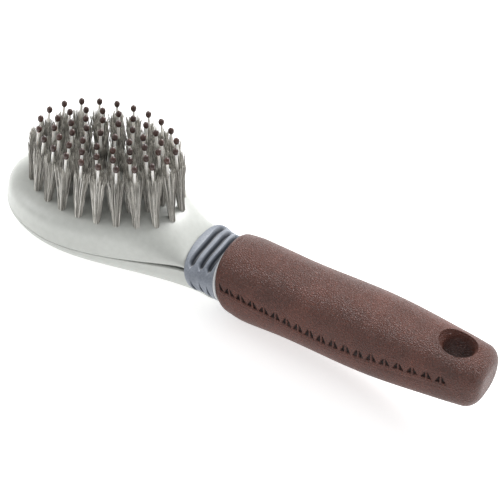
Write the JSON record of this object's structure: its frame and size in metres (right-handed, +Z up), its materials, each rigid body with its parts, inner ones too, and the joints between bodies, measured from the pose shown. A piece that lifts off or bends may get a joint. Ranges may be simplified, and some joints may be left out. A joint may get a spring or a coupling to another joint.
{
  "type": "horse grooming brush",
  "caption": "Hand-held grooming brush: oval plastic head with ball-tipped pins standing in bristle tufts, ribbed soft collar and rubber grip with a hanging hole",
  "frame": {"origin": "middle of the brush's length and width, on the plane that touches the lowest point of the grip", "axes": "+X along the handle towards the hanging hole, +Y across, +Z up, the way the pins point"},
  "size_m": [0.2074, 0.0588, 0.0593],
  "materials": {
    "head_plastic": "satin",
    "pin_nylon": "satin",
    "tip_plastic": "gloss",
    "bristle": "satin",
    "anchor_steel": "satin",
    "collar_rubber": "satin",
    "ring_plastic": "satin",
    "grip_rubber": "satin, leather grain"
  },
  "bodies": {
    "root": {"outer_pins": "pin_nylon", "outer_pin_tips": "tip_plastic", "outer_tufts": "bristle", "outer_tuft_anchors": "anchor_steel", "second_pins": "pin_nylon", "second_pin_tips": "tip_plastic", "second_tufts": "bristle", "second_tuft_anchors": "anchor_steel", "third_pins": "pin_nylon", "third_pin_tips": "tip_plastic", "third_tufts": "bristle", "third_tuft_anchors": "anchor_steel", "centre_pins": "pin_nylon", "centre_pin_tips": "tip_plastic", "centre_tufts": "bristle", "centre_tuft_anchors": "anchor_steel", "bristle_deck": "head_plastic", "handle_frame": "head_plastic", "collar": "collar_rubber", "grip_ring": "ring_plastic", "grip": "grip_rubber"}
  },
  "joints": []
}
